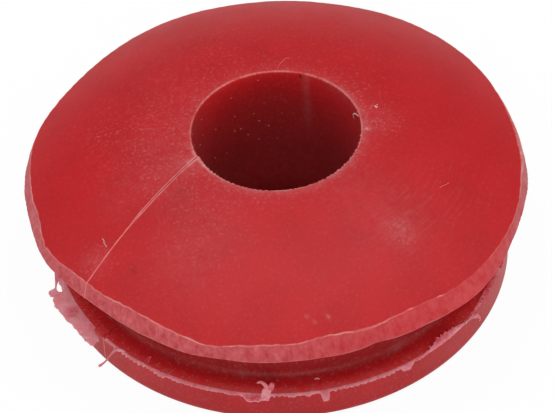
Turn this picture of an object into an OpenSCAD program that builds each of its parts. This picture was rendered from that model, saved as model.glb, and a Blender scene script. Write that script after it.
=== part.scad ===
// Split rubber grommet: one moulding with a domed upper flange, a groove for the
// edge of a panel, a smaller lower flange and a plain bore. The wall is slit from
// the bore to the outside, so that it can be opened and slipped round a pipe or cable.
// Origin: on the bore's axis, in the flat underside. +Z points out of the dome.

/* [Overall] */
// Height from the flat underside to the edge of the bore
total_h = 16.2; // [15.6:0.1:19.6]
// Diameter of the bore
bore_d = 16; // [8:0.5:24]
// Radius that breaks the bore's upper edge
bore_edge_r = 0.25; // [0.1:0.05:0.6]

/* [Upper flange] */
// Diameter of the upper flange round its trimmed rim
upper_d = 48.4; // [40:0.2:60]
// Height of the trimmed rim
rim_h = 1.4; // [0.8:0.1:2]
// Lean of the trimmed rim from upright, in degrees
rim_lean = 30; // [10:1:40]
// How far inside the bore's edge the dome would be level, if it went on inwards
dome_lead = 1.4; // [0:0.1:4]
// How far the trimmed rim's centre lies from the bore's axis, along X
rim_shift_x = -0.25; // [-0.5:0.05:0.5]
// How far the trimmed rim's centre lies from the bore's axis, along Y
rim_shift_y = -0.1; // [-0.5:0.05:0.5]

/* [Groove] */
// Width of the groove between the flanges
groove_w = 7; // [4:0.1:8.4]
// Diameter of the groove's floor
groove_d = 39; // [32:0.5:41]
// Radius of the fillet along each side of the groove's floor
groove_fillet = 0.6; // [0.2:0.1:1.2]

/* [Lower flange] */
// Diameter of the lower flange
lower_d = 44; // [42:0.5:56]
// Thickness of the lower flange
lower_h = 3.4; // [1.5:0.1:4.1]
// Radius that breaks the lower flange's bottom edge
foot_r = 0.5; // [0.2:0.1:1]

/* [Slit] */
// Width of the slit, as it stands open by itself
slit_gap = 0.15; // [0.1:0.05:1]
// Direction in which the slit runs outwards, in degrees from +X
slit_angle = 227; // [180:1:270]
// Distance of the slit's plane from the bore's axis
slit_offset = 3.4; // [0:0.1:3.6]

/* [Mould flash] */
// Thickness of the thin flash left along the lower flange's upper edge
flash_t = 0.25; // [0.2:0.05:0.4]

/* [Hidden] */
$fn = 96;

// A little more than any cut needs, so that no cut ends on a face
spare = 1;

bore_r = bore_d / 2;
groove_r = groove_d / 2;
lower_r = lower_d / 2;
upper_r = upper_d / 2;

// Heights of the groove's two sides and of the rim's upper edge
groove_z0 = lower_h;
groove_z1 = lower_h + groove_w;
rim_z = groove_z1 + rim_h;
rim_top_r = upper_r - rim_h * tan(rim_lean);

// The dome's arc runs through the bore's edge and the rim's upper edge. It is level at
// dome_x, so that is where its centre lies, at the height from which both are as far.
dome_x = bore_r - dome_lead;
dome_rise = total_h - rim_z;
dome_span = rim_top_r - dome_x;
dome_drop = (dome_span * dome_span - dome_lead * dome_lead - dome_rise * dome_rise) / (2 * dome_rise);
dome_z = rim_z - dome_drop;
dome_r = sqrt(dome_span * dome_span + dome_drop * dome_drop);

// The deeper knife strokes that trimmed the rim: each one's direction in degrees, how far
// inside the rim it cuts at the lower edge, and its lean from upright in degrees
STROKES = [
    [70, 0.55, 32],
    [84, 0.85, 32],
    [98, 0.7, 32],
    [188, 0.15, 32],
    [226, 0.6, 28],
    [262, 0.15, 24],
    [291, 0.4, 38],
    [344, 0.45, 18]
];
// Largest size of the block that one stroke takes away
stroke_l = upper_d;

// Outline of the flash's widest flap, which is torn along its outer side: the direction of
// each point in degrees, and how far it stands out from the lower flange
FLAP = [
    [191, 0.25],
    [195, 0.66],
    [197.5, 0.85],
    [198.1, 1.5],
    [200, 1.65],
    [203, 1.7],
    [206, 1.5],
    [211, 1.3],
    [216, 1.4],
    [217.7, 1.05],
    [217.6, 0.5],
    [216.4, 0.1]
];
// The hole torn in the flap near its narrow end, in the same terms
TEAR = [
    [195.9, 0.38],
    [196.6, 0.57],
    [198.4, 0.7],
    [199.4, 0.45],
    [198, 0.28]
];
// Torn tabs of flash: direction of each in degrees, its width along the edge, how far it
// stands out, and how far its tip leans to one side
TABS = [
    [224, 0.8, 2.3, 0.1],
    [239, 3.6, 0.5, 0.4],
    [261, 4.2, 0.9, 0.8],
    [277, 1.8, 1.2, 0.4],
    [300, 1.3, 1, -0.2],
    [311, 3.6, 0.35, 0.6],
    [325, 2.4, 0.5, -0.4],
    [334, 3, 0.3, 0.5]
];
// How far the root of the flash reaches into the flange
flash_root = 1;

// Points of the flash's outline in plan
function in_plan(outline) = [for (p = outline) (lower_r + p[1]) * [cos(p[0]), sin(p[0])]];

// The piece of section between the corner at (x, z) and the arc that rounds it. Taken
// away, it breaks a convex corner; added, it fills a concave one. side and way are 1 or
// -1, and point from the corner to the arc's centre, along X and Z.
module corner_piece(x, z, side, way, radius) {
    difference() {
        translate([side > 0 ? x - spare : x - radius, way > 0 ? z - spare : z - radius])
            square([radius + spare, radius + spare]);
        translate([x + side * radius, z + way * radius])
            circle(radius);
    }
}

// Section of the upper flange before its rim is trimmed: the dome's arc above and the
// groove's upper side below
module upper_flange_section() {
    intersection() {
        translate([dome_x, dome_z])
            circle(dome_r);
        translate([0, groove_z1])
            square([upper_r + spare, total_h]);
    }
}

// Section of the lower flange, with its bottom edge broken
module lower_flange_section() {
    difference() {
        square([lower_r, lower_h]);
        corner_piece(lower_r, 0, -1, 1, foot_r);
    }
}

// Section of the wall between the flanges, which is the groove's floor, with a fillet
// along each side
module wall_section() {
    translate([0, groove_z0 - spare])
        square([groove_r, groove_w + 2 * spare]);
    corner_piece(groove_r, groove_z0, 1, 1, groove_fillet);
    corner_piece(groove_r, groove_z1, 1, -1, groove_fillet);
}

// Section of the whole moulding, from the bore outwards
module grommet_section() {
    difference() {
        union() {
            lower_flange_section();
            wall_section();
            upper_flange_section();
        }
        translate([-spare, -spare])
            square([bore_r + spare, total_h + 3 * spare]);
        corner_piece(bore_r, total_h, 1, -1, bore_edge_r);
    }
}

// What the first trim takes off all round the upper flange. It leaves a leaning rim,
// whose centre lies a little off the bore's axis.
module round_trim() {
    trim_h = total_h - groove_z1 + spare;
    difference() {
        translate([0, 0, groove_z1 - spare])
            cylinder(h = trim_h, r = upper_r + 3 * spare);
        translate([rim_shift_x, rim_shift_y, groove_z1 - 2 * spare])
            cylinder(
                h = trim_h + 3 * spare,
                r1 = upper_r + 2 * spare * tan(rim_lean),
                r2 = upper_r - (trim_h + spare) * tan(rim_lean)
            );
    }
}

// One deep stroke of the knife along the upper flange's rim
module knife_stroke(direction, inside, lean) {
    rotate([0, 0, direction])
        translate([upper_r - inside, 0, groove_z1])
            rotate([0, -lean, 0])
                translate([0, -stroke_l / 2, -spare])
                    cube([upper_r, stroke_l, total_h]);
}

// The widest flap of flash, flush with the lower flange's upper face, with a hole torn in it
module flash_flap() {
    last = len(FLAP) - 1;
    root = [[FLAP[last][0], -flash_root], [FLAP[0][0], -flash_root]];
    translate([0, 0, groove_z0 - flash_t])
        linear_extrude(flash_t)
            difference() {
                polygon(in_plan(concat(FLAP, root)));
                polygon(in_plan(TEAR));
            }
}

// One torn tab of flash, flush with the lower flange's upper face
module flash_tab(direction, width, reach, tip_lean) {
    rotate([0, 0, direction])
        translate([lower_r, 0, groove_z0 - flash_t])
            linear_extrude(flash_t)
                polygon([
                    [-flash_root, -width / 2],
                    [0, -width / 2],
                    [0.6 * reach, -0.4 * width],
                    [reach, tip_lean - 0.15 * width],
                    [0.9 * reach, tip_lean + 0.15 * width],
                    [0.5 * reach, 0.36 * width],
                    [0, width / 2],
                    [-flash_root, width / 2]
                ]);
}

// The straight cut through the wall on one side of the bore
module slit() {
    rotate([0, 0, slit_angle])
        translate([0, -slit_offset - slit_gap / 2, -spare])
            cube([upper_d, slit_gap, total_h + 3 * spare]);
}

// The whole grommet
module grommet() {
    color("#b8242a")
        difference() {
            union() {
                rotate_extrude()
                    grommet_section();
                flash_flap();
                for (tab = TABS) {
                    flash_tab(tab[0], tab[1], tab[2], tab[3]);
                }
            }
            round_trim();
            for (stroke = STROKES) {
                knife_stroke(stroke[0], stroke[1], stroke[2]);
            }
            slit();
        }
}

grommet();
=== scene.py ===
import math

import bpy
import numpy as np
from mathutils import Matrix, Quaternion, Vector


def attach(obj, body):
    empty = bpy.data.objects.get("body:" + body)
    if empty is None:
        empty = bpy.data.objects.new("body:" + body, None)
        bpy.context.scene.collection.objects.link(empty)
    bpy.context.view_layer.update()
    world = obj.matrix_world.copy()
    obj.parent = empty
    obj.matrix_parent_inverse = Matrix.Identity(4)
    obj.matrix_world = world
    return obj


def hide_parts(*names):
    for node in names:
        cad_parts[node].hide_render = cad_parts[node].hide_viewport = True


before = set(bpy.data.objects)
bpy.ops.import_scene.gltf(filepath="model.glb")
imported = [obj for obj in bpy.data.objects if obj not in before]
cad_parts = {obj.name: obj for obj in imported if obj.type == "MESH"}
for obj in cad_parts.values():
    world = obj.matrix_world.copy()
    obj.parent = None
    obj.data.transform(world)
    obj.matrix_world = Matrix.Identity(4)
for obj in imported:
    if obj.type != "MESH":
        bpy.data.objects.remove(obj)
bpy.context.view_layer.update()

MM = 0.001


# ---------------------------------------------------------------------------------------
# The moulding: one piece of red natural rubber, pressed in a two-part mould. Its section
# runs once round the bore. The upper rim was trimmed by hand with a knife, which strayed in
# and out, and one straight cut slits the wall from the bore to the outside. In millimetres.

bore_r = 8.0
bore_edge_r = 0.16
total_h = 16.2
dome_lead = 1.4
rim_h = 1.4
rim_lean = math.radians(30)
rim_swell = 0.05
upper_r = 24.2
groove_r = 19.5
groove_fillet = 0.6
groove_low = 3.4
groove_high = 10.4
lower_r = 22.0
lower_edge_r = 0.06
foot_r = 0.5
slit_direction = math.radians(227)
slit_offset = 3.4
sharp_turn = math.radians(35)

# The dome's arc in section, level just inside the bore's edge
rim_z = groove_high + rim_h
dome_x = bore_r - dome_lead
dome_rise = total_h - rim_z
dome_span = upper_r - rim_h * math.tan(rim_lean) - dome_x
dome_drop = (dome_span ** 2 - dome_lead ** 2 - dome_rise ** 2) / (2 * dome_rise)
dome_z = rim_z - dome_drop
dome_r = math.hypot(dome_span, dome_drop)

# Where the knife went round the rim's two edges, as the radius of a plain trim and what
# each stroke adds to it: direction and half-width in degrees, and height
upper_trim_r = 23.17
upper_strokes = [
    (16, 9, -0.3), (75.6, 9.4, -0.67), (96.4, 8.9, -0.59), (151, 19.7, -0.52),
    (166.7, 11.7, 1.07), (186.8, 4.7, 0.22), (198.5, 3.0, 0.14), (202.1, 0.6, 0.2),
    (204.6, 5.6, 0.62), (232, 4.1, -0.22), (252.2, 5.6, 0.58), (270.7, 8.4, 0.15),
    (279.8, 4.2, -0.36), (299.5, 6.8, -0.43), (326.3, 26, 0.35), (349.7, 4.6, -0.2),
]
lower_trim_r = 24.04
lower_strokes = [
    (7.9, 23.7, -0.62), (86.6, 23.3, -0.86), (139.7, 12.9, -0.52), (176.9, 8.9, 0.28),
    (203.4, 6.1, 0.32), (224.9, 9.9, -0.41), (247.4, 3.1, 0.16), (261.6, 7.3, 0.13),
    (289.7, 2.5, -0.26), (314.9, 7.3, 0.5), (327, 5, 0.12), (352.7, 6.1, 0.23),
]


def dome_height(r):
    """Height of the dome at radius r: an arc about the point (dome_x, dome_z)."""
    return dome_z + np.sqrt(dome_r ** 2 - (r - dome_x) ** 2)


def slit_angle(r):
    """Angle at which the slit's plane, slit_offset from the axis, meets the radius r."""
    return slit_direction - np.arcsin(slit_offset / r)


def bumps(angle, marks):
    """Sum of bell curves round the axis. Each mark is a direction and a half-width in
    degrees, and a height."""
    total = np.zeros_like(angle)
    for direction, half_width, height in marks:
        away = np.degrees(np.angle(np.exp(1j * (angle - math.radians(direction)))))
        total += height * np.exp(-0.5 * (away / half_width) ** 2)
    return total


def ripple(angle, height, waves, seed):
    """Uneven ripple round the axis: a sum of 9 sines of about that many waves a turn, with
    random strengths and phases, whose usual height is the one given."""
    source = np.random.default_rng(seed)
    count = np.round(source.uniform(0.5, 1.6, 9) * waves)
    phase = source.uniform(0, 2 * math.pi, 9)
    strength = source.uniform(0.4, 1.0, 9)
    sines = (strength * np.sin(count * angle[..., None] + phase)).sum(-1)
    return height * sines / np.sqrt((strength ** 2).sum() / 2)


def steps(first, last, count, crowd=0.0):
    """A column of count numbers from first up to last, which is left out; crowd from 0 to 1
    draws them towards both ends."""
    t = np.arange(count) / count
    drawn = t - crowd * np.sin(2 * math.pi * t) / (2 * math.pi)
    return (first + (last - first) * drawn)[:, None]


def joined_loops(loops):
    """Corners, quads and end faces of the solid whose sections are the given loops of
    points: quads run from each loop to the next, and the first and last are filled in."""
    sections, points, _ = loops.shape
    index = np.arange(sections * points).reshape(sections, points)
    here, there = index[:-1], index[1:]
    quads = np.stack([here, np.roll(here, -1, 1), np.roll(there, -1, 1), there], axis=-1)
    return loops.reshape(-1, 3), quads.reshape(-1, 4), [index[0][::-1], index[-1]]


def add_piece(name, solids, material, **attributes):
    """One smooth piece made of solids, which are corners in millimetres, quads and end
    faces. Sharp turns between faces stay sharp. Each keyword becomes a float attribute."""
    corners, faces, start = [], [], 0
    for solid_corners, quads, ends in solids:
        corners.append(solid_corners)
        faces += (quads + start).tolist() + [(end + start).tolist() for end in ends]
        start += len(solid_corners)
    mesh = bpy.data.meshes.new(name)
    mesh.from_pydata((np.concatenate(corners) * MM).tolist(), [], faces)
    for key, values in attributes.items():
        layer = mesh.attributes.new(key, "FLOAT", "POINT")
        layer.data.foreach_set("value", np.asarray(values, dtype=np.float32).ravel())
    mesh.polygons.foreach_set("use_smooth", np.ones(len(mesh.polygons), dtype=bool))
    mesh.set_sharp_from_angle(angle=sharp_turn)
    mesh.materials.append(material)
    piece = bpy.data.objects.new(name, mesh)
    bpy.context.scene.collection.objects.link(piece)
    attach(piece, "root")
    return piece


# Directions of the sections, from one face of the slit round to the other. Next to the slit
# they are a few hundredths of a millimetre apart.
near_slit = np.radians([0.0, 0.1, 0.22, 0.36, 0.55, 0.8, 1.15, 1.6, 2.1])
spread = np.linspace(math.radians(2.6), 2 * math.pi - math.radians(2.6), 620)
around = np.concatenate([near_slit, spread, 2 * math.pi - near_slit[::-1]])

# The rim's two edges
rim_middle_r = 23.5
rim_angle = slit_angle(rim_middle_r) + around
upper_edge = (upper_trim_r + bumps(rim_angle, upper_strokes)
              + ripple(rim_angle, 0.018, 60, 11) + ripple(rim_angle, 0.012, 170, 12))
lower_edge = (lower_trim_r + bumps(rim_angle, lower_strokes)
              + ripple(rim_angle, 0.012, 40, 13) + ripple(rim_angle, 0.008, 170, 14))
upper_edge_z = dome_height(upper_edge)

# Stretches of the section in order round its skin. Each has a column of radii and one of
# heights, or a grid where they change from section to section.
corner_turn = np.radians(np.linspace(0, 90, 5))[:, None]
bore_turn = math.pi - corner_turn
over_dome = np.concatenate([[0.02, 0.04, 0.065], np.linspace(0.09, 0.97, 44), [0.985, 0.994, 1.0]])
dome_start = bore_r + bore_edge_r
dome_rows = dome_start + (upper_edge - dome_start) * over_dome[:, None]
down_rim = np.array([0.06, 0.14, 0.26, 0.4, 0.54, 0.68, 0.82, 0.93, 1.0])[:, None]
inwards = np.array([0.03, 0.1, 0.25, 0.42, 0.6, 0.78, 0.92])[:, None]
fillet_r = groove_r + groove_fillet
section = [
    ("bore", bore_r, steps(0.0, total_h - bore_edge_r, 14, 0.6)),
    ("bore edge", dome_start + bore_edge_r * np.cos(bore_turn),
     total_h - bore_edge_r + bore_edge_r * np.sin(bore_turn)),
    ("dome", dome_rows, dome_height(dome_rows)),
    ("rim", upper_edge + (lower_edge - upper_edge) * down_rim + rim_swell * np.sin(math.pi * down_rim),
     upper_edge_z + (groove_high - upper_edge_z) * down_rim),
    ("groove roof", lower_edge + (fillet_r - lower_edge) * inwards, groove_high),
    ("upper fillet", fillet_r - groove_fillet * np.sin(corner_turn),
     groove_high - groove_fillet * (1 - np.cos(corner_turn))),
    ("hub", groove_r, steps(groove_high - groove_fillet, groove_low + groove_fillet, 9)[1:]),
    ("lower fillet", fillet_r - groove_fillet * np.cos(corner_turn),
     groove_low + groove_fillet * (1 - np.sin(corner_turn))),
    ("groove face", steps(fillet_r, lower_r - lower_edge_r, 8, 0.5)[1:], groove_low),
    ("flange edge", lower_r - lower_edge_r * (1 - np.sin(corner_turn)),
     groove_low - lower_edge_r * (1 - np.cos(corner_turn))),
    ("outer wall", lower_r, steps(groove_low - lower_edge_r, foot_r, 8, 0.4)[1:]),
    ("foot edge", lower_r - foot_r * (1 - np.cos(corner_turn)), foot_r - foot_r * np.sin(corner_turn)),
    ("underside", steps(lower_r - foot_r, bore_r, 12)[1:], 0.0),
]
filled = [(name, *np.broadcast_arrays(r, z, around[None])[:2]) for name, r, z in section]
grid_r = np.concatenate([r for _, r, _ in filled])
grid_z = np.concatenate([z for _, _, z in filled])
# 1 on the cut rim, whose first row is the dome's last
rim_rows = np.concatenate([np.full(len(r), float(name == "rim")) for name, r, _ in filled])
rim_rows[np.flatnonzero(rim_rows)[0] - 1] = 1.0

# The slit's faces all but touch, and stand open by a hair some 4 mm out from the bore
shut_gap = 0.006
hair_gap = 0.03
slit_gap = shut_gap + hair_gap * np.exp(-((grid_r - 12.0) / 1.6) ** 2)
to_slit = grid_r * np.minimum(around, 2 * math.pi - around)
opened = np.where(around < math.pi, 0.5, -0.5) * slit_gap * np.exp(-to_slit / 0.5)
grid_angle = slit_angle(grid_r) + around + opened / grid_r

# On the dome the slit's lips are rolled up a little, in a crest beside each face. They are
# narrow near the rim and wide near the bore, where the lip in front stands a little way in.
to_crest = 0.1
crest_half_w = 0.06
front_lip_reach = 0.14
on_dome = np.clip((grid_z - rim_z + 0.6) / 0.4, 0, 1) * (grid_r > bore_r + 0.05)
near_rim = np.clip((grid_r - 15.5) / 2.5, 0, 1)
near_bore = np.clip((10.5 - grid_r) / 2, 0, 1)
no_lip = (grid_z < groove_high + 0.01) & (grid_r < lower_r - 0.05)
to_lip = np.where(no_lip, 1.0, to_slit * (1 + 0.55 * near_rim - 0.3 * near_bore) + 0.06 * near_rim)
lip = np.exp(-((to_lip - to_crest) / crest_half_w) ** 2)
lip_rise = 0.03 + 0.04 * np.exp(-((grid_r - 11) / 4) ** 2)
grid_z = np.minimum(grid_z + on_dome * lip * lip_rise, total_h - 0.01)
leaning_in = front_lip_reach * np.exp(-around / math.radians(14))
grid_r = grid_r - leaning_in * np.exp(-((grid_r - bore_r) / 0.9) ** 2)

# The bore's edge is nicked, most of all in front
at_bore_edge = np.exp(-(np.hypot(grid_r - bore_r, grid_z - total_h) / 0.22) ** 2)
nicks = ripple(grid_angle, 0.04, 80, 21) + ripple(grid_angle, 0.035, 200, 22)
nicked = 0.3 + bumps(grid_angle, [(230, 22, 0.9), (320, 25, 0.9)])
grid_r = grid_r + at_bore_edge * nicks * nicked

loops = np.stack([grid_r * np.cos(grid_angle), grid_r * np.sin(grid_angle), grid_z], axis=-1)


def patches(marks):
    """Sum of soft round patches seen from above. Each mark is x, y, half-width and strength."""
    over_x, over_y = loops[..., 0], loops[..., 1]
    return sum(
        strength * np.exp(-0.5 * ((over_x - x) ** 2 + (over_y - y) ** 2) / half_width ** 2)
        for x, y, half_width, strength in marks)


# Distances from the bore's edge and down from the top, and masks of the other faces: the
# bore's wall, the groove's floor or hub, its lower face and the lower flange's outer wall
from_bore_edge = np.hypot(grid_r - bore_r, grid_z - total_h)
depth = total_h - grid_z
on_bore = (grid_r < bore_r + 0.05) * (grid_z > 0.0)
in_groove = (grid_z > 1) * (grid_z < groove_high - 0.05)
on_hub = np.clip((20.3 - grid_r) / 0.4, 0, 1) * (grid_r > groove_r - 0.1) * in_groove
on_face = (np.abs(grid_z - groove_low) < 0.02) * (grid_r > groove_r)
on_wall = (grid_r > lower_r - 0.02) * (grid_z < groove_low - 0.05)

# Where the rubber has bloomed: in clouds on the dome, beside the slit's end and in a frosted
# spot at the right, in specks beside the bore and in front, and all along the bore's edge
bloom_clouds = patches([
    (-6.0, -10.4, 2.2, 0.04), (-8.2, -14.3, 2.4, 0.05), (6.8, -8.7, 2.4, 0.03),
    (10.4, -11.5, 2.8, 0.03), (-8.4, -3.9, 1.0, 0.12), (-8.05, -3.6, 0.28, 0.5),
    (-11.5, -1.5, 2.6, 0.07), (-10.5, -5.5, 1.6, 0.06), (9.6, 0.7, 1.2, 0.09),
    (-9.5, 5.5, 3.0, 0.04), (10.8, -12.6, 1.0, 0.17), (-17.3, -12.7, 0.9, 0.1),
    (-9.2, -8.0, 1.8, 0.03), (-15.0, -6.5, 1.6, 0.04), (8.4, -0.5, 0.1, 0.8),
    (8.65, -0.6, 0.08, 0.7), (1.85, -21.1, 0.1, 0.5), (3.75, -21.1, 0.12, 0.4),
    (2.55, -21.6, 0.1, 0.45),
])
edge_bloom = bumps(grid_angle, [(203, 8, 0.3), (322, 28, 0.32), (250, 30, 0.38), (15, 20, 0.24)])
bloom = on_dome * (0.01 + 0.1 * np.exp(-from_bore_edge / 0.8) + bloom_clouds
                   + edge_bloom * np.exp(-from_bore_edge / 0.35))
# In the bore: a streak down its wall, a haze at both sides, more of it towards the bottom,
# and some along the top at the far right
bloom += on_bore * (bumps(grid_angle, [(67, 2.0, 0.18)]) * np.clip((grid_z - 8.7) / 2, 0, 1)
                    + bumps(grid_angle, [(175, 20, 0.1), (8, 24, 0.06)])
                    + 0.08 * np.clip(depth / 14, 0, 1))
near_top = np.clip((grid_z - 14.9) / 1.0, 0, 1)
bloom += (grid_r < bore_r + 0.2) * bumps(grid_angle, [(40, 13, 0.12)]) * near_top
# In the groove: two rubbed places on the hub, and a little on the lower face, with painted light on it
# that grows out towards the lower flange's edge, most of all in front. A trace on the outer wall, and
# some at the rim's left and right ends.
hub_rubs = bumps(grid_angle, [(257, 0.9, 0.25), (301.5, 2.6, 0.2)])
bloom += on_hub * (0.04 + hub_rubs * np.exp(-((grid_r - 19.8) / 0.3) ** 2))
face_bloom = 0.16 + bumps(grid_angle, [(272, 16, 0.35)])
bloom += on_face * (0.03 + face_bloom * np.clip((grid_r - 20.5) / 1.3, 0, 1) ** 2)
bloom += 0.02 * on_wall
bloom += rim_rows[:, None] * bumps(grid_angle, [(4, 14, 0.5), (190, 14, 0.2)])

# Where dust lies: mostly round the bore and on the dome's left
dusty = on_dome * (0.16 + 0.8 * np.exp(-from_bore_edge / 0.8) + patches([
    (-11.0, 0.5, 3.2, 0.3), (-12.0, -4.5, 2.6, 0.3), (-8.6, -4.5, 1.6, 0.3), (-6.0, -8.5, 3.0, 0.25),
    (9.9, 0.8, 1.4, 0.9), (8.5, 5.0, 1.6, 0.3), (-6.0, 10.0, 4.0, 0.3), (6.0, 12.0, 4.0, 0.15),
    (-14.0, 3.0, 3.0, 0.2), (-8.0, -13.0, 3.0, 0.15), (10.8, -12.8, 0.9, 0.7),
    (-17.0, 1.5, 1.2, 0.3), (-17.3, -12.7, 1.2, 0.4),
]))
dusty += 0.25 * on_bore + 0.4 * on_hub + 0.35 * on_wall
dusty += on_face * np.clip(1.4 * (grid_r - 20.4), 0.4, 1.6)

# The knife left the rim redder in front, and most of all at the front right
cut_share = rim_rows[:, None] * (1 - bumps(grid_angle, [(316, 20, 0.45), (285, 11, 0.3)]))

# Grime and painted shade: on the hub grime together with painted shade under the upper flange, painted
# shade in a band down the bore, most at its back, and in the slit's crack, and grime in a few smudges on
# the dome
bore_shade_band = np.clip((depth - 1.5) / 2.5, 0, 1) * np.clip((14.0 - depth) / 4.0, 0, 1)
grime = 0.35 * on_hub + 0.36 * on_bore * bumps(grid_angle, [(88, 42, 1.0)]) * bore_shade_band
grime += 0.5 * on_face * np.exp(-(to_slit / 0.06) ** 2)
grime += 0.6 * on_dome * np.exp(-(to_slit / 0.04) ** 2) * np.exp(-((grid_r - 12.5) / 3.0) ** 2)
grime += on_dome * patches([
    (-9.2, -8.0, 1.8, 0.1), (-13.77, -14.67, 0.16, 0.35), (-13.7, -14.6, 0.5, 0.06),
    (-0.78, 11.04, 0.2, 0.25), (-5.92, 9.65, 0.2, 0.3), (-9.1, -7.25, 0.4, 0.12),
])

# Painted light, brighter and a purer red, where light that went in beside an edge comes out again: along
# the groove's lower face, growing out towards its edge, the rim at the front right and the top of the
# bore
face_glow = 0.6 + bumps(grid_angle, [(272, 26, 0.6)])
glow = on_face * face_glow * np.clip((grid_r - 20.4) / 1.4, 0, 1) ** 1.5
glow += rim_rows[:, None] * bumps(grid_angle, [(312, 22, 0.12)])
glow += 0.8 * on_bore * bumps(grid_angle, [(115, 45, 1.0)]) * np.exp(-depth / 0.9)

# Where the dome is scratched: at its front right
scratched = on_dome * patches([(11.5, -11.0, 3.4, 1.0), (15.5, -7.0, 2.8, 0.7)])


def linear(colour):
    """An sRGB hex colour as linear red, green, blue and alpha."""
    channels = [int(colour[i:i + 2], 16) / 255 for i in (1, 3, 5)]
    return [c / 12.92 if c <= 0.04045 else ((c + 0.055) / 1.055) ** 2.4 for c in channels] + [1.0]


def bare_material(name):
    """A material with nothing in its node tree yet, and that tree."""
    material = bpy.data.materials.new(name)
    material.use_nodes = True
    material.node_tree.nodes.clear()
    return material, material.node_tree


def add_node(tree, kind, feeds, out=0, **settings):
    """Adds a node and gives back one of its outputs. feeds maps an input's name or number
    to a hex colour, a plain value, or the output that feeds it. settings are the node's own.
    A map range reads its input 0 from 1 to 2 and gives 3 to 4, and a mix goes from 6 to 7."""
    made = tree.nodes.new(kind)
    for key, value in settings.items():
        setattr(made, key, value)
    for key, value in feeds.items():
        if isinstance(value, bpy.types.NodeSocket):
            tree.links.new(value, made.inputs[key])
        else:
            made.inputs[key].default_value = linear(value) if isinstance(value, str) else value
    return made.outputs[out] if made.outputs else made


# Moulded natural rubber, pigmented red. The mould gave it a fine satin skin, on which lies a thin pale
# bloom of dust, thickest round the bore. Cut faces are matt, paler and scored. Painted light and shade
# are mixed into its colour as well, in the groove, down the bore, at the slit and near some edges.
moulded_rubber, tree = bare_material("moulded_red_rubber")
place = add_node(tree, "ShaderNodeTexCoord", {}, "Object")
height = add_node(tree, "ShaderNodeSeparateXYZ", {0: place}, 2)
share = {
    name: add_node(tree, "ShaderNodeAttribute", {}, "Fac", attribute_name=name)
    for name in ("cut", "from_slit", "from_upper_edge", "from_lower_edge", "from_bore_edge",
                 "along_mm", "out_mm", "bloom", "dusty", "scratched", "grime", "glow")
}

# Two reds in clouds of 4 mm
clouds = add_node(tree, "ShaderNodeTexNoise", {"Vector": place, "Scale": 1 / (4 * MM), "Detail": 4.0})
clouds = add_node(tree, "ShaderNodeMapRange", {0: clouds, 1: 0.35, 2: 0.65})
colour = add_node(tree, "ShaderNodeMix", {0: clouds, 6: "#bb121a", 7: "#c3151d"}, 2, data_type="RGBA")

# The cut rim: mottled in blots of 0.8 mm, a little drawn out along the knife's way down
score_place = add_node(tree, "ShaderNodeMath", {0: height, 1: 0.7 / MM}, operation="MULTIPLY")
score_place = add_node(tree, "ShaderNodeCombineXYZ", {0: share["along_mm"], 1: score_place})
scores = add_node(tree, "ShaderNodeTexNoise", {
    "Vector": score_place, "Scale": 1 / 0.8, "Detail": 6.0, "Roughness": 0.7,
})
score_tone = add_node(tree, "ShaderNodeMapRange", {0: scores, 1: 0.3, 2: 0.72})
cut_colour = add_node(
    tree, "ShaderNodeMix", {0: score_tone, 6: "#b92a34", 7: "#de6f73"}, 2, data_type="RGBA")
colour = add_node(
    tree, "ShaderNodeMix", {0: share["cut"], 6: colour, 7: cut_colour}, 2, data_type="RGBA")
# Painted light: near some edges the colour turns a bright, pure red
colour = add_node(
    tree, "ShaderNodeMix", {0: share["glow"], 6: colour, 7: "#ff3230"}, 2, data_type="RGBA")

# Bloom, a pale film with a fine mottle of 0.8 mm in it, which also carries painted light on the groove's
# lower face, and brown grime and painted shade over it
mottle = add_node(tree, "ShaderNodeTexNoise", {
    "Vector": place, "Scale": 1 / (0.8 * MM), "Detail": 4.0, "Roughness": 0.65,
})
mottle = add_node(tree, "ShaderNodeMapRange", {0: mottle, 1: 0.3, 2: 0.75, 3: 0.3, 4: 1.8})
pale_film_and_light = add_node(tree, "ShaderNodeMath", {0: share["bloom"], 1: mottle}, operation="MULTIPLY")
colour = add_node(tree, "ShaderNodeMix", {0: pale_film_and_light, 6: colour, 7: "#c8868a"}, 2, data_type="RGBA")
colour = add_node(
    tree, "ShaderNodeMix", {0: share["grime"], 6: colour, 7: "#5c1c1a"}, 2, data_type="RGBA")

# Dust: a fine irregular speckle of 0.3 mm, and a few coarse grains. Each cell of 0.9 mm that is
# chosen holds one grain, and how large and how pale it is are the cell's own.
speckle = add_node(tree, "ShaderNodeTexNoise", {
    "Vector": place, "Scale": 1 / (0.3 * MM), "Detail": 3.0, "Roughness": 0.75,
})
speckle = add_node(tree, "ShaderNodeMapRange", {0: speckle, 1: 0.54, 2: 0.8, 3: 0.0, 4: 0.8})
speckle = add_node(tree, "ShaderNodeMath", {0: speckle, 1: share["dusty"]}, operation="MULTIPLY")
shaken = add_node(tree, "ShaderNodeTexNoise", {"Vector": place, "Scale": 1 / (0.3 * MM)}, "Color")
shaken = add_node(tree, "ShaderNodeMix", {0: 0.3 * MM, 4: place, 5: shaken}, 1, data_type="VECTOR")
grains = add_node(tree, "ShaderNodeTexVoronoi", {"Vector": shaken, "Scale": 1 / (0.9 * MM)}, "Distance")
own = add_node(tree, "ShaderNodeSeparateColor", {0: grains.node.outputs["Color"]})
fewest = add_node(
    tree, "ShaderNodeMath", {0: share["dusty"], 1: -0.6, 2: 1.0}, operation="MULTIPLY_ADD")
chosen = add_node(tree, "ShaderNodeMath", {0: own, 1: fewest}, operation="GREATER_THAN")
grain_r = add_node(tree, "ShaderNodeMapRange", {0: own.node.outputs[1], 3: 0.05, 4: 0.12})
paleness = add_node(tree, "ShaderNodeMapRange", {0: own.node.outputs[2], 3: 0.05, 4: 0.7})
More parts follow.
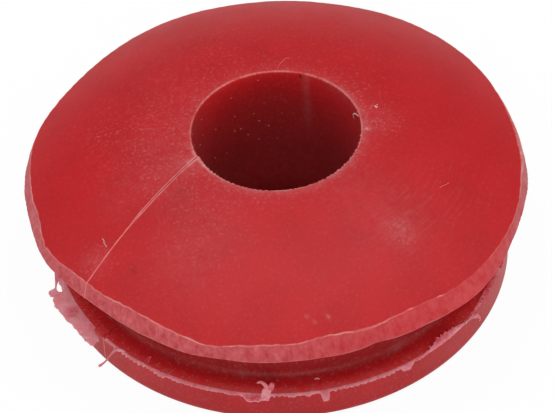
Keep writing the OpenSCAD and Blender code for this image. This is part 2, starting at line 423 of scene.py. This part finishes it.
grain = add_node(tree, "ShaderNodeMapRange", {0: grains, 1: 0.02, 2: grain_r, 3: paleness, 4: 0.0})
grain = add_node(tree, "ShaderNodeMath", {0: grain, 1: chosen}, operation="MULTIPLY")
dust = add_node(tree, "ShaderNodeMath", {0: grain, 1: speckle}, operation="MAXIMUM")
colour = add_node(tree, "ShaderNodeMix", {0: dust, 6: colour, 7: "#de8e8a"}, 2, data_type="RGBA")

# Faint scratches round the axis, 0.15 mm apart and many millimetres long
scratch_place = add_node(tree, "ShaderNodeMath", {0: share["along_mm"], 1: 0.04}, operation="MULTIPLY")
scratch_place = add_node(tree, "ShaderNodeCombineXYZ", {0: scratch_place, 1: share["out_mm"]})
scratches = add_node(tree, "ShaderNodeTexNoise", {
    "Vector": scratch_place, "Scale": 1 / 0.15, "Detail": 3.0,
})
scratches = add_node(tree, "ShaderNodeMapRange", {0: scratches, 1: 0.5, 2: 0.75, 3: 0.0, 4: 0.08})
scratches = add_node(
    tree, "ShaderNodeMath", {0: scratches, 1: share["scratched"]}, operation="MULTIPLY")
colour = add_node(tree, "ShaderNodeMix", {0: scratches, 6: colour, 7: "#dba49c"}, 2, data_type="RGBA")

# Thin pale lines where the knife left a feathered edge, and along the bore's edge, which are partly a
# painted highlight on these edges. Each is given by how near and how far from its edge it fades, in
# millimetres, and its strength.
wavering = add_node(tree, "ShaderNodeTexNoise", {
    "Vector": place, "Scale": 1 / (2.2 * MM), "Detail": 5.0, "Roughness": 0.7,
})
wavering = add_node(tree, "ShaderNodeMapRange", {0: wavering, 1: 0.38, 2: 0.62, 3: 0.08, 4: 0.85})
lines = add_node(tree, "ShaderNodeMapRange", {
    0: share["from_upper_edge"], 1: 0.02, 2: 0.11, 3: 1.0, 4: 0.0,
})
for edge, near, far, strength in (
    ("from_lower_edge", 0.02, 0.09, 0.6), ("from_bore_edge", 0.08, 0.2, 0.75),
):
    line = add_node(tree, "ShaderNodeMapRange", {0: share[edge], 1: near, 2: far, 3: strength, 4: 0.0})
    lines = add_node(tree, "ShaderNodeMath", {0: lines, 1: line}, operation="MAXIMUM")
lines = add_node(tree, "ShaderNodeMath", {0: lines, 1: wavering}, operation="MULTIPLY")
colour = add_node(tree, "ShaderNodeMix", {0: lines, 6: colour, 7: "#e49a92"}, 2, data_type="RGBA")

# The slit's two lips, rubbed pale along their crests and red between them
from_slit = share["from_slit"]
lip_start = add_node(tree, "ShaderNodeMapRange", {0: from_slit, 1: 0.015, 2: 0.06, 3: 0.0, 4: 0.95})
lip_end = add_node(tree, "ShaderNodeMapRange", {0: from_slit, 1: 0.12, 2: 0.2, 3: 1.0, 4: 0.0})
lips = add_node(tree, "ShaderNodeMath", {0: lip_start, 1: lip_end}, operation="MULTIPLY")
lip_wavering = add_node(tree, "ShaderNodeMapRange", {0: mottle, 1: 0.6, 2: 1.5, 3: 0.6, 4: 1.0})
lips = add_node(tree, "ShaderNodeMath", {0: lips, 1: lip_wavering}, operation="MULTIPLY")
colour = add_node(tree, "ShaderNodeMix", {0: lips, 6: colour, 7: "#ee8684"}, 2, data_type="RGBA")

# The skin's own grain, the scores and the dust, in relief, and a sheen that varies softly
skin = add_node(tree, "ShaderNodeTexNoise", {"Vector": place, "Scale": 1 / (0.25 * MM), "Detail": 3.0})
relief = add_node(tree, "ShaderNodeBump", {"Height": skin, "Strength": 0.05, "Distance": 0.1 * MM})
score_relief = add_node(tree, "ShaderNodeMath", {0: scores, 1: share["cut"]}, operation="MULTIPLY")
relief = add_node(tree, "ShaderNodeBump", {
    "Height": score_relief, "Normal": relief, "Strength": 0.25, "Distance": 0.15 * MM,
})
relief = add_node(tree, "ShaderNodeBump", {
    "Height": dust, "Normal": relief, "Strength": 0.3, "Distance": 0.1 * MM,
})
sheen = add_node(tree, "ShaderNodeTexNoise", {"Vector": place, "Scale": 1 / (3 * MM), "Detail": 3.0})
sheen = add_node(tree, "ShaderNodeMapRange", {0: sheen, 3: 0.4, 4: 0.56})
sheen = add_node(
    tree, "ShaderNodeMath", {0: share["cut"], 1: 0.2, 2: sheen}, operation="MULTIPLY_ADD")
shader = add_node(tree, "ShaderNodeBsdfPrincipled", {
    "Base Color": colour, "Roughness": sheen, "Normal": relief, "IOR": 1.5, "Specular IOR Level": 0.28,
})
add_node(tree, "ShaderNodeOutputMaterial", {0: shader})

# The pale line along the rim's upper edge is faint at the front right and wide beyond, and
# the one along the bore's edge is widest beside the slit's end
upper_line = bumps(grid_angle, [
    (312, 22, 0.08), (3, 7, -0.3), (288, 4, -0.1), (299.4, 0.5, -0.07), (307.3, 0.7, -0.08),
    (210, 12, 0.03),
])
bore_line = bumps(grid_angle, [(199, 7, 0.14), (216, 7, 0.07)])
moulding = add_piece(
    "moulded_grommet", [joined_loops(loops.transpose(1, 0, 2))], moulded_rubber,
    cut=cut_share.T,
    from_slit=to_lip.T,
    from_upper_edge=(np.hypot(grid_r - upper_edge, grid_z - upper_edge_z) + upper_line).T,
    from_lower_edge=np.hypot(grid_r - lower_edge, grid_z - groove_high).T,
    from_bore_edge=(from_bore_edge - bore_line).T,
    along_mm=np.broadcast_to(around * upper_r, grid_r.shape).T,
    out_mm=grid_r.T,
    bloom=bloom.T,
    dusty=dusty.T,
    scratched=scratched.T,
    grime=grime.T,
    glow=glow.T,
)
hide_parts("grommet")


# ---------------------------------------------------------------------------------------
# Flash: rubber that squeezed out between the mould's halves along the lower flange's upper
# edge. It is as thin as card, torn and ragged, and so thin that it looks pale and pink.
# It was never trimmed off, and is one with the moulding along its root.

flap_t = 0.2
fringe_t = 0.12
tab_t = 0.18
shred_t = 0.09


def skinned(middle, half_thickness):
    """Solid of a thin sheet about a grid of points, which goes along one way and out the
    other: each section runs out on one side and back on the other, that far from the grid
    along its normal. Its two ends are strips of quads."""
    along = np.gradient(middle, axis=0)
    outwards = np.gradient(middle, axis=1)
    normal = np.cross(outwards, along)
    normal /= np.linalg.norm(normal, axis=-1, keepdims=True)
    shift = normal * half_thickness[..., None]
    corners, quads, _ = joined_loops(np.concatenate([middle + shift, (middle - shift)[:, ::-1]], axis=1))
    points = middle.shape[1]
    i = np.arange(points - 1)
    strip = np.stack([i, i + 1, 2 * points - 2 - i, 2 * points - 1 - i], axis=-1)
    return corners, np.concatenate([quads, strip[:, ::-1], strip + len(corners) - 2 * points]), []


def ring_point(angle, r, z):
    """Points at that angle, radius and height."""
    return np.stack(np.broadcast_arrays(r * np.cos(angle), r * np.sin(angle), z), axis=-1)


def polar_path(points):
    """Points given as direction in degrees, radius and height."""
    points = np.asarray(points, dtype=float)
    return ring_point(np.radians(points[:, 0]), points[:, 1], points[:, 2])


def smooth_path(path, widths):
    """Points of a curve that runs smoothly near the path's points, the direction of the
    curve at each, and the width there."""
    path = np.asarray(path, dtype=float)
    knots = np.arange(len(path))
    t = np.linspace(0, len(path) - 1, 6 * len(path))
    curve = np.stack([np.interp(t, knots, path[:, i]) for i in range(3)], axis=-1)
    for _ in range(3):
        curve[1:-1] = (curve[:-2] + 2 * curve[1:-1] + curve[2:]) / 4
    ahead = np.gradient(curve, axis=0)
    ahead /= np.linalg.norm(ahead, axis=-1, keepdims=True)
    return curve, ahead, np.interp(t, knots, widths)


def strand(path, radii, sides=8):
    """Solid of a round strand along a path: each section is a ring square to it."""
    curve, ahead, size = smooth_path(path, radii)
    side = np.cross(ahead, [0.31, 0.22, 0.92])
    side /= np.linalg.norm(side, axis=-1, keepdims=True)
    other = np.cross(ahead, side)
    turn = np.linspace(0, 2 * math.pi, sides, endpoint=False)[None, :, None]
    ring = side[:, None] * np.cos(turn) + other[:, None] * np.sin(turn)
    return joined_loops(curve[:, None] + ring * size[:, None, None])


def shred(path, half_widths, rise=0.8):
    """Solid of a thin torn strip along a path, which faces outwards and, by that much, up. It
    is crumpled by a ripple across it, and thinner towards its edges."""
    curve, ahead, size = smooth_path(path, half_widths)
    facing = curve * [1, 1, 0] / np.linalg.norm(curve[:, :2], axis=-1, keepdims=True) + [0, 0, rise]
    side = np.cross(ahead, facing)
    side /= np.linalg.norm(side, axis=-1, keepdims=True)
    reach = np.linspace(-1, 1, 9)[None, :, None]
    crumple = 0.05 * np.sin(3 * np.linspace(0, 1, len(curve))[:, None, None] * len(path) + 3 * reach)
    middle = curve[:, None] + side[:, None] * reach * size[:, None, None] + facing[:, None] * crumple
    return skinned(middle, np.broadcast_to(shred_t / 2 - 0.025 * reach[..., 0] ** 2, middle.shape[:2]))


# Thin torn rubber: the same red, but light shines into it and shows the torn skin pale, and that light
# is painted into its pale pink colour. Where it is thicker, as its redness says, it keeps more of the
# rubber's colour.
torn_rubber, tree = bare_material("torn_thin_rubber")
place = add_node(tree, "ShaderNodeTexCoord", {}, "Object")
redness_share = add_node(tree, "ShaderNodeAttribute", {}, "Fac", attribute_name="redness")
stains = add_node(tree, "ShaderNodeTexNoise", {
    "Vector": place, "Scale": 1 / (1.6 * MM), "Detail": 4.0, "Roughness": 0.6,
})
stains = add_node(tree, "ShaderNodeMapRange", {0: stains, 1: 0.35, 2: 0.68})
colour = add_node(tree, "ShaderNodeMix", {0: stains, 6: "#fa929c", 7: "#ffbcc4"}, 2, data_type="RGBA")
flecks = add_node(tree, "ShaderNodeTexNoise", {
    "Vector": place, "Scale": 1 / (0.5 * MM), "Detail": 4.0, "Roughness": 0.7,
})
flecks = add_node(tree, "ShaderNodeMapRange", {0: flecks, 1: 0.35, 2: 0.65, 3: 0.5, 4: 1.5})
red_share = add_node(
    tree, "ShaderNodeMath", {0: redness_share, 1: flecks}, operation="MULTIPLY", use_clamp=True)
colour = add_node(tree, "ShaderNodeMix", {0: red_share, 6: colour, 7: "#dc4254"}, 2, data_type="RGBA")
crumple = add_node(tree, "ShaderNodeTexNoise", {"Vector": place, "Scale": 1 / (0.4 * MM), "Detail": 4.0})
relief = add_node(tree, "ShaderNodeBump", {"Height": crumple, "Strength": 0.5, "Distance": 0.15 * MM})
shader = add_node(tree, "ShaderNodeBsdfPrincipled", {
    "Base Color": colour, "Roughness": 0.5, "Normal": relief, "IOR": 1.5, "Specular IOR Level": 0.4,
})
add_node(tree, "ShaderNodeOutputMaterial", {0: shader})


def add_flash(name, parts):
    """One piece of torn rubber made of parts, which are pairs of a solid and its redness: a
    number, or one for each point of the grid that skinned made the solid from."""
    redness = []
    for (corners, _, _), part_redness in parts:
        if np.ndim(part_redness):
            part_redness = np.concatenate([part_redness, part_redness[:, ::-1]], axis=1).ravel()
        redness.append(np.broadcast_to(part_redness, len(corners)))
    solids = [solid for solid, _ in parts]
    piece = add_piece(name, solids, torn_rubber, redness=np.concatenate(redness))


# The widest flap, whose narrow end splits into an inner strip and an outer strand round a
# hole, and whose other end is torn in two prongs. Its outer edge is given as directions in
# degrees and radii.
flap_root_r = 21.8
over_flap = np.linspace(0, 1, 14)
flap_angle = np.radians(np.linspace(191.0, 218.0, 190))
flap_edge = np.interp(
    np.degrees(flap_angle),
    [191, 193.5, 195.4, 196.3, 198.4, 199, 199.4, 200.5, 202.5, 204,
     206, 208.1, 209.8, 210.8, 211.4, 213.8, 216.1, 217.2, 218],
    [22.05, 22.28, 22.4, 22.36, 22.34, 22.4, 23.3, 23.6, 23.75, 23.6,
     23.53, 23.53, 23.36, 23.42, 23.3, 23.38, 23.46, 23.4, 23.34],
) + ripple(flap_angle, 0.02, 300, 31)
flap_r = flap_root_r + (flap_edge - flap_root_r)[:, None] * over_flap
flap_wave = (ripple(flap_angle, 0.05, 40, 32)[:, None]
             + ripple(flap_angle, 0.04, 110, 33)[:, None] * over_flap)
flap_z = groove_low - 0.04 + flap_wave * over_flap - 0.16 * over_flap ** 2
prongs = np.interp(flap_r, [22.0, 22.1, 22.24, 22.45, 22.7, 22.95, 23.2, 23.4],
                   [-3.6, -3.2, -1.6, 0.3, -0.3, 0.1, 0.2, -0.5])
near_end = np.clip((flap_angle - math.radians(213)) / math.radians(5), 0, 1)[:, None]
flap_turn = flap_angle[:, None] + np.radians(prongs) * near_end
flap = skinned(ring_point(flap_turn, flap_r, flap_z),
               np.broadcast_to(flap_t / 2 * (1 - 0.6 * over_flap), flap_r.shape))
flap_redness = bumps(flap_turn, [(206.8, 1.3, 0.62)]) * np.sin(math.pi * over_flap)
flap_redness += 0.15 * (1 - over_flap) ** 2
flap_redness += bumps(flap_turn, [(204, 2.5, 0.15), (216.5, 1.5, 0.15)]) * over_flap ** 6

# The outer strand, which ends in a hook: its inner and outer edges
hook_angle = np.radians(np.linspace(191.4, 199.8, 70))
hook_inner = np.interp(
    np.degrees(hook_angle),
    [191.4, 194, 195.4, 196, 196.7, 197.5, 198.3, 199, 199.4, 199.8],
    [22.05, 22.25, 22.36, 22.58, 22.72, 22.84, 22.88, 22.8, 22.5, 22.3])
hook_outer = np.interp(
    np.degrees(hook_angle),
    [191.4, 194, 195.4, 196, 196.7, 197.2, 197.5, 197.7, 198.2, 199.3, 199.8],
    [22.42, 22.63, 22.74, 22.8, 22.87, 22.96, 23.02, 23.62, 23.74, 23.7, 23.5])
hook_r = hook_inner[:, None] + (hook_outer - hook_inner)[:, None] * over_flap
hook_z = groove_low + 0.02 - 0.1 * np.clip(hook_r - lower_r, 0, 2) ** 2 / 2
hook = skinned(ring_point(hook_angle[:, None], hook_r, hook_z), np.full(hook_r.shape, fringe_t / 2))

# A ragged fringe along the front of the flange's edge, folded in over the groove at its far
# end. How far each tear stands out is given as direction and half-width in degrees, and reach.
tears = [
    (220.5, 1.2, 0.06), (229, 1.2, 0.1), (237.5, 1.3, 0.26), (241.5, 1.5, 0.1),
    (246, 2.5, 0.14), (251, 2.5, 0.14), (256, 1.5, 0.2), (266, 0.6, 0.05),
    (270.4, 0.9, 0.18), (274.4, 0.8, 0.2), (286, 6, 0.06), (292, 4, 0.08),
    (304, 1.5, 0.06), (325.5, 1.8, -0.05), (334, 6, 0.07),
]
over_fringe = np.linspace(0, 1, 7)
fringe_angle = np.radians(np.linspace(218.9, 340.0, 1050))
ragged = np.abs(ripple(fringe_angle, 0.07, 110, 41)) + np.abs(ripple(fringe_angle, 0.035, 450, 42))
reach = (ragged * (1 - bumps(fringe_angle, [(334, 6, 0.85)])) - 0.06
         + bumps(fringe_angle, tears))
inner_r = 21.8 - bumps(fringe_angle, [(332, 5, 0.28)])[:, None]
fringe_r = inner_r + (lower_r + reach[:, None] - inner_r) * over_fringe
lift = bumps(fringe_angle, [(333, 5, 0.14)])[:, None]
droop = 0.07 * over_fringe ** 2 * (1 + 2 * np.clip(reach, 0, 1.3)[:, None])
fringe_z = (groove_low + 0.01 - droop + lift
            + ripple(fringe_angle, 0.03, 200, 43)[:, None] * over_fringe)
fringe = skinned(ring_point(fringe_angle[:, None], fringe_r, fringe_z),
                 np.broadcast_to(fringe_t / 2 * (1 - 0.6 * over_fringe), fringe_r.shape))
fringe_redness = (0.35 - 0.3 * over_fringe
                  + bumps(fringe_angle, [(225, 16, 0.12), (331, 8, 0.6)])[:, None])


def hanging_tab(directions, reaches, seed):
    """Solid of a torn tab that hangs from the flange's upper edge. How far it stands out is
    given at directions in degrees; going out, it droops by two thirds of that."""
    angle = np.radians(np.linspace(directions[0], directions[-1], 90))
    out = np.interp(np.degrees(angle), directions, reaches)[:, None]
    out = out + ripple(angle, 0.02, 200, seed)[:, None]
    along_tab = np.linspace(0, 1, 7)
    r = 21.9 + out * along_tab
    return skinned(ring_point(angle[:, None], r, groove_low + 0.03 - 0.65 * out * along_tab ** 1.4),
                   np.broadcast_to(tab_t / 2 * (1 - 0.5 * along_tab), r.shape))


# Three tabs hang down in front: a wide one, thick and red in the middle, a narrow one like a
# leg, and a short one. A crumpled flake stands up beside the first, with a horn to the left
# and a lobe to the right.
wide_tab = hanging_tab([257, 258.6, 259.6, 260.4, 262.1, 263.6, 264.9, 265.7],
                       [0.08, 0.35, 0.6, 0.66, 0.6, 0.47, 0.25, 0.06], 44)
leg_tab = hanging_tab([276, 276.7, 277.35, 277.5, 277.8, 278.4, 278.9, 279.2, 279.35, 280],
                      [0.1, 0.16, 0.32, 0.72, 0.86, 0.88, 0.76, 0.5, 0.2, 0.1], 46)
short_tab = hanging_tab([297.6, 298.1, 299.1, 300.5, 301.4, 302],
                        [0.08, 0.36, 0.5, 0.44, 0.25, 0.08], 47)
from_tab_middle = np.linspace(-1, 1, 90)[:, None] ** 2 + (2 * over_fringe - 1) ** 4
wide_redness = 0.9 * np.clip(1 - 1.6 * from_tab_middle, 0, 1)
stem = shred(polar_path([
    (263.9, 22.2, 2.95), (264.0, 22.1, 3.4), (264.2, 22.05, 3.9), (264.5, 22.0, 4.35),
]), [0.34, 0.4, 0.42, 0.34])
horn = shred(polar_path([
    (264.6, 21.95, 4.35), (264.1, 21.95, 4.75), (263.5, 21.95, 5.1), (262.8, 21.95, 5.2),
    (262.1, 21.95, 5.05),
]), [0.16, 0.17, 0.14, 0.12, 0.04])
lobe = shred(polar_path([
    (264.9, 21.95, 4.0), (265.3, 21.9, 4.35), (265.6, 21.9, 4.7), (265.8, 21.9, 5.05),
]), [0.26, 0.28, 0.24, 0.16])

# At the right the fringe is frayed and leans in over the groove. The height of its ragged
# upper edge is a low band and, on it, tufts given as direction, half-width and height.
tufts = [
    (306.2, 0.4, 0.12), (307.7, 0.3, 0.3), (309.3, 0.5, 0.16), (310.3, 0.25, 0.2),
    (310.9, 0.35, 0.34), (312.1, 0.3, 0.3), (312.9, 0.5, 0.14), (313.6, 0.3, 0.26),
    (314.8, 0.4, 0.14), (316.0, 0.5, 0.12), (317.6, 0.3, 0.1),
]
frayed_angle = np.radians(np.linspace(302.5, 321.0, 700))
frayed_h = np.interp(
    np.degrees(frayed_angle),
    [302.5, 305, 307.5, 309, 310.5, 313, 316, 318, 320, 321],
    [0.02, 0.12, 0.32, 0.46, 0.64, 0.68, 0.56, 0.36, 0.2, 0.02])
frayed_h += np.abs(ripple(frayed_angle, 0.04, 500, 45)) + sum(
    height * np.clip(1 - np.abs(np.degrees(frayed_angle) - direction) / half_width, 0, 1)
    for direction, half_width, height in tufts)
frayed_h = frayed_h[:, None] * over_fringe
frayed_r = lower_r - 0.5 * frayed_h + 0.04 * np.sin(6 * frayed_h)
frayed_z = groove_low - 0.03 + 0.75 * frayed_h
frayed = skinned(ring_point(frayed_angle[:, None] - 0.012 * frayed_h, frayed_r, frayed_z),
                 np.broadcast_to(fringe_t / 2 * (1 - 0.7 * over_fringe), frayed_h.shape))
frayed_redness = np.clip(0.22 + 1.0 * frayed_h, 0, 0.8)
curl = shred(polar_path([
    (320.2, 22.0, 3.4), (321.4, 22.1, 3.5), (322.6, 22.2, 3.5), (323.6, 22.3, 3.2),
    (324.3, 22.4, 2.8), (324.2, 22.45, 2.5), (323.6, 22.4, 2.5),
]), [0.08, 0.13, 0.22, 0.22, 0.14, 0.07, 0.04])

# A thread at the left that runs out and ends in a blob, and a thin looped sliver behind it
thread = strand(polar_path([
    (225.6, 21.75, 3.42), (224.62, 21.85, 3.45), (223.45, 22.15, 3.46), (223.5, 22.6, 3.44),
    (223.73, 23.06, 3.43), (224.15, 23.75, 3.41), (224.21, 24.23, 3.4), (224.13, 24.5, 3.4),
    (224.1, 24.65, 3.4),
]), [0.1, 0.15, 0.16, 0.13, 0.1, 0.085, 0.1, 0.14, 0.12])
loop = strand(polar_path([
    (231.4, 21.8, 3.4), (231.9, 21.65, 3.65), (232.6, 21.55, 4.1), (233.3, 21.5, 4.5),
    (233.6, 21.5, 4.45), (233.1, 21.5, 4.05), (232.6, 21.6, 3.65), (232.3, 21.8, 3.4),
]), [0.04] * 8, 6)

add_flash("flash_flap", [(flap, flap_redness), (hook, 0.1)])
add_flash("flash_fringe", [(fringe, fringe_redness), (frayed, frayed_redness)])
add_flash("flash_flake", [
    (wide_tab, wide_redness), (leg_tab, 0.35), (short_tab, 0.3), (stem, 0.25), (horn, 0.1), (lobe, 0.6),
])
add_flash("flash_threads", [(thread, 0.2), (loop, 0.95), (curl, 0.4)])


# ---------------------------------------------------------------------------------------
# Lint: a few fine fibres and crumbs that lie on the rubber where it has been handled. They
# are cotton, straw or rubber, from 0.02 to 0.2 mm thick, and they cling to the bloom.

# Cotton is fluffy and matt, and shows as a soft pinkish white against the red
cotton, tree = bare_material("pale_cotton_fibre")
shader = add_node(tree, "ShaderNodeBsdfPrincipled", {"Base Color": "#f0b4aa", "Roughness": 0.9})
add_node(tree, "ShaderNodeOutputMaterial", {0: shader})

# Dry straw is a dull buff, darker than the cotton
straw, tree = bare_material("dry_straw")
shader = add_node(tree, "ShaderNodeBsdfPrincipled", {"Base Color": "#c89486", "Roughness": 0.8})
add_node(tree, "ShaderNodeOutputMaterial", {0: shader})

# A crumb of black rubber, the darkest thing on the grommet
black_rubber, tree = bare_material("black_rubber_crumb")
shader = add_node(tree, "ShaderNodeBsdfPrincipled", {"Base Color": "#2a0c0c", "Roughness": 0.8})
add_node(tree, "ShaderNodeOutputMaterial", {0: shader})


def lying_fibre(points, thickness):
    """Strand that lies on the dome through points given as direction in degrees and radius."""
    points = np.asarray(points, dtype=float)
    height = np.minimum(dome_height(points[:, 1]) + 0.5 * thickness, total_h - 0.015 - thickness)
    return strand(polar_path(np.column_stack([points, height])), np.full(len(points), thickness), 6)


# Cotton on the dome, one hooked end of it in the bore, and two crumbs of it in the groove
add_piece("cotton_lint", [
    lying_fibre([(86.9, 8.38), (85.4, 9.13), (82.8, 9.92), (80.9, 10.23)], 0.009),
    lying_fibre([(356.4, 8.19), (357.2, 8.47), (355.2, 8.66)], 0.05),
    lying_fibre([(333.4, 16.6), (334.2, 16.7), (335.5, 16.91), (337.0, 17.15)], 0.01),
    lying_fibre([(13.4, 9.85), (14.3, 9.88), (15.2, 9.8)], 0.065),
    lying_fibre([(14.0, 10.05), (14.4, 9.9), (14.9, 9.86)], 0.04),
    lying_fibre([(15.4, 10.05), (15.9, 10.08)], 0.05),
    strand(polar_path([
        (19.3, 7.93, 14.5), (19.6, 7.86, 14.9), (18.4, 7.82, 15.3), (15.8, 7.84, 15.65),
        (12.1, 7.88, 15.95), (9.0, 7.95, 16.1),
    ]), [0.03, 0.06, 0.08, 0.07, 0.05, 0.03], 6),
    strand(polar_path([(276.4, 20.4, 3.44), (277.0, 20.33, 3.48), (277.7, 20.45, 3.44)]),
           [0.03, 0.07, 0.05], 6),
    strand(polar_path([(319.3, 22.1, 3.5), (319.8, 22.05, 3.56), (320.4, 22.0, 3.5)]),
           [0.06, 0.1, 0.06], 6),
], cotton)

# Crumbs of dust that stick to the bore's wall, each a short stub
crumb_count = 26
crumb_source = np.random.default_rng(51)
crumb_directions = crumb_source.uniform(80, 178, crumb_count)
crumb_heights = crumb_source.uniform(7.0, 15.3, crumb_count)
crumb_radii = crumb_source.uniform(0.015, 0.04, crumb_count)
crumbs = []
for direction, z, crumb_r in zip(crumb_directions, crumb_heights, crumb_radii):
    stub = [(direction - 0.4, 7.98, z), (direction, 7.96, z + 0.03), (direction + 0.4, 7.98, z)]
    crumbs.append(strand(polar_path(stub), [crumb_r] * 3, 6))
add_piece("bore_crumbs", crumbs, straw)

add_piece("straw_lint", [
    lying_fibre([(212.6, 19.66), (213.5, 19.66), (213.9, 19.8), (215.1, 19.86), (215.5, 19.93)], 0.06),
], straw)
add_piece("black_crumb", [
    strand(polar_path([(71.0, 7.97, 16.05), (71.2, 7.95, 15.85), (70.9, 7.97, 15.6)]),
           [0.05, 0.06, 0.04], 6),
], black_rubber)


# ---------------------------------------------------------------------------------------
# The stage: a plain white floor under a soft, even light from above, and a camera with a
# long lens that looks down on the dome.

floor_size = 6.0
corner = floor_size / 2
floor_mesh = bpy.data.meshes.new("floor")
floor_mesh.from_pydata(
    [(-corner, -corner, 0), (corner, -corner, 0), (corner, corner, 0), (-corner, corner, 0)],
    [], [(0, 1, 2, 3)])
floor = bpy.data.objects.new("floor", floor_mesh)
bpy.context.scene.collection.objects.link(floor)


def seen_white(tree):
    """Two shares: 1 for the camera's own rays, and 1 for those and for the rays that reach
    the background by gloss or through glass."""
    ray = add_node(tree, "ShaderNodeLightPath", {}, "Is Camera Ray")
    seen = ray
    for way in ("Is Glossy Ray", "Is Transmission Ray"):
        seen = add_node(tree, "ShaderNodeMath", {0: seen, 1: ray.node.outputs[way]}, operation="MAXIMUM")
    return ray, seen


# Matt white paper. In the open it shows an almost even white with a trace of shadow. Under the grommet
# it keeps its shade, and its tone for bounced light is a painted shade of grey, so it throws less light
# back up the bore.
white_paper, tree = bare_material("white_paper")
ray, seen = seen_white(tree)
from_middle = add_node(tree, "ShaderNodeTexCoord", {}, "Object")
from_middle = add_node(tree, "ShaderNodeVectorMath", {0: from_middle}, 1, operation="LENGTH")
in_the_open = add_node(tree, "ShaderNodeMapRange", {0: from_middle, 1: 19 * MM, 2: 22 * MM})
tone = add_node(tree, "ShaderNodeMix", {0: in_the_open, 6: "#8a8a8a", 7: "#e6e6e6"}, 2, data_type="RGBA")
tone = add_node(tree, "ShaderNodeMix", {0: ray, 6: tone, 7: "#ffffff"}, 2, data_type="RGBA")
matt = add_node(tree, "ShaderNodeBsdfDiffuse", {0: tone})
white_light = add_node(tree, "ShaderNodeEmission", {0: "#ffffff", 1: 1.0})
lit_share = add_node(tree, "ShaderNodeMath", {0: seen, 1: in_the_open}, operation="MULTIPLY")
lit_share = add_node(tree, "ShaderNodeMath", {0: lit_share, 1: 0.96}, operation="MULTIPLY")
paper = add_node(tree, "ShaderNodeMixShader", {0: lit_share, 1: matt, 2: white_light})
add_node(tree, "ShaderNodeOutputMaterial", {0: paper})
floor_mesh.materials.append(white_paper)

# The room: dim all round for the light it gives, and white where it is seen
studio = bpy.data.worlds.new("studio")
bpy.context.scene.world = studio
studio.use_nodes = True
tree = studio.node_tree
tree.nodes.clear()
ray, seen = seen_white(tree)
direction = add_node(tree, "ShaderNodeTexCoord", {}, "Generated")
upwards = add_node(tree, "ShaderNodeSeparateXYZ", {0: direction}, 2)
backdrop = add_node(tree, "ShaderNodeMapRange", {0: upwards, 1: 0.1, 2: 0.25, 3: 1.0, 4: 0.05})
strength = add_node(tree, "ShaderNodeMapRange", {0: seen, 3: 0.2, 4: backdrop})
surround = add_node(tree, "ShaderNodeBackground", {0: "#ffffff", 1: strength})
add_node(tree, "ShaderNodeOutputWorld", {0: surround})


def soft_box(name, place, size, power):
    """A square area lamp at place, in metres, that faces the object."""
    lamp = bpy.data.lights.new(name, "AREA")
    lamp.size = size
    lamp.energy = power
    holder = bpy.data.objects.new(name, lamp)
    holder.location = place
    holder.rotation_euler = (-Vector(place)).to_track_quat("-Z", "Y").to_euler()
    holder.visible_camera = False
    bpy.context.scene.collection.objects.link(holder)


# Soft boxes above and on all four sides, the strongest of them in front
soft_box("top_box", (0.0, 0.0, 1.1), 0.8, 2.9)
soft_box("left_box", (-0.45, 0.1, 1.1), 0.5, 1.4)
soft_box("right_box", (0.45, 0.1, 1.1), 0.5, 1.5)
soft_box("back_box", (0.0, 0.5, 1.05), 0.5, 1.05)
soft_box("front_box", (0.0, -1.15, 0.65), 0.8, 4.9)
soft_box("left_side_box", (-1.2, 0.0, 0.6), 0.8, 3.0)
soft_box("right_side_box", (1.2, 0.0, 0.6), 0.8, 3.3)

# The camera, 0.3 m away, in front of the grommet and above it, and tipped a little to one side
camera_data = bpy.data.cameras.new("camera")
camera_data.lens = 200.57
camera_data.sensor_width = 36.0
camera_data.clip_start = 0.01
camera_data.clip_end = 20.0
camera = bpy.data.objects.new("camera", camera_data)
bpy.context.scene.collection.objects.link(camera)
camera.location = (0.0, -208.28 * MM, 218.24 * MM)
aim = Vector((-0.36, -2.5, 8.4)) * MM
roll = math.radians(-3.22)
camera.rotation_mode = "QUATERNION"
looking = (aim - camera.location).to_track_quat("-Z", "Y")
camera.rotation_quaternion = looking @ Quaternion((0, 0, 1), roll)
bpy.context.scene.camera = camera

bpy.context.scene.view_settings.view_transform = "Standard"
